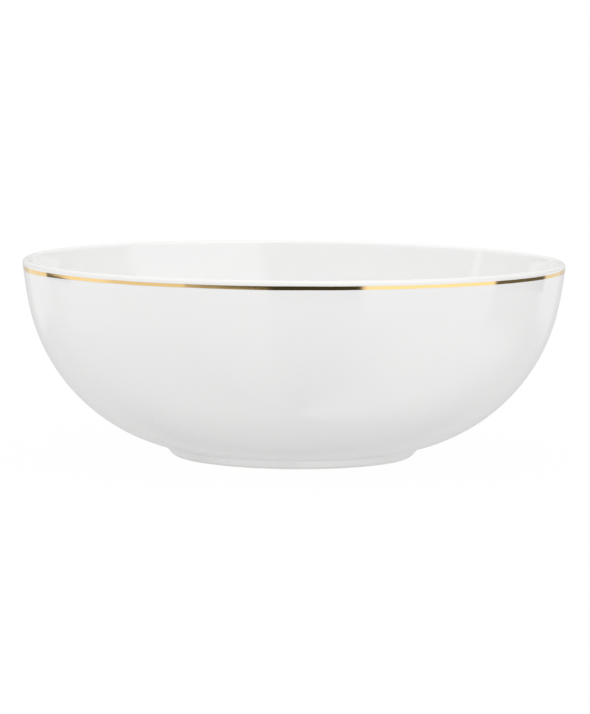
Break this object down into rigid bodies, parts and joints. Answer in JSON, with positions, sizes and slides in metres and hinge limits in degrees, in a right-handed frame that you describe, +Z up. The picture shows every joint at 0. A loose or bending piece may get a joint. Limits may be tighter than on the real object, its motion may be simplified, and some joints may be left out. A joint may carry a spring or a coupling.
{
  "type": "serving bowl",
  "caption": "Round white glazed porcelain serving bowl with a rounded lip, a narrow gold line below it on the outside and a low unglazed foot ring.",
  "frame": {"origin": "centre of the foot ring's standing face, on the table", "axes": "+Z up along the bowl's axis; X and Y are alike, because the bowl is turned"},
  "size_m": [0.2303, 0.2302, 0.0832],
  "materials": {
    "porcelain": "matt unglazed fired porcelain",
    "glaze": "clear gloss glaze over white porcelain",
    "gold": "bright fired gold, hand banded"
  },
  "bodies": {
    "root": {"bowl_body": "porcelain", "foot_ring": "porcelain", "bowl_glaze": "glaze", "base_glaze": "glaze", "gold_band": "gold"}
  },
  "joints": []
}
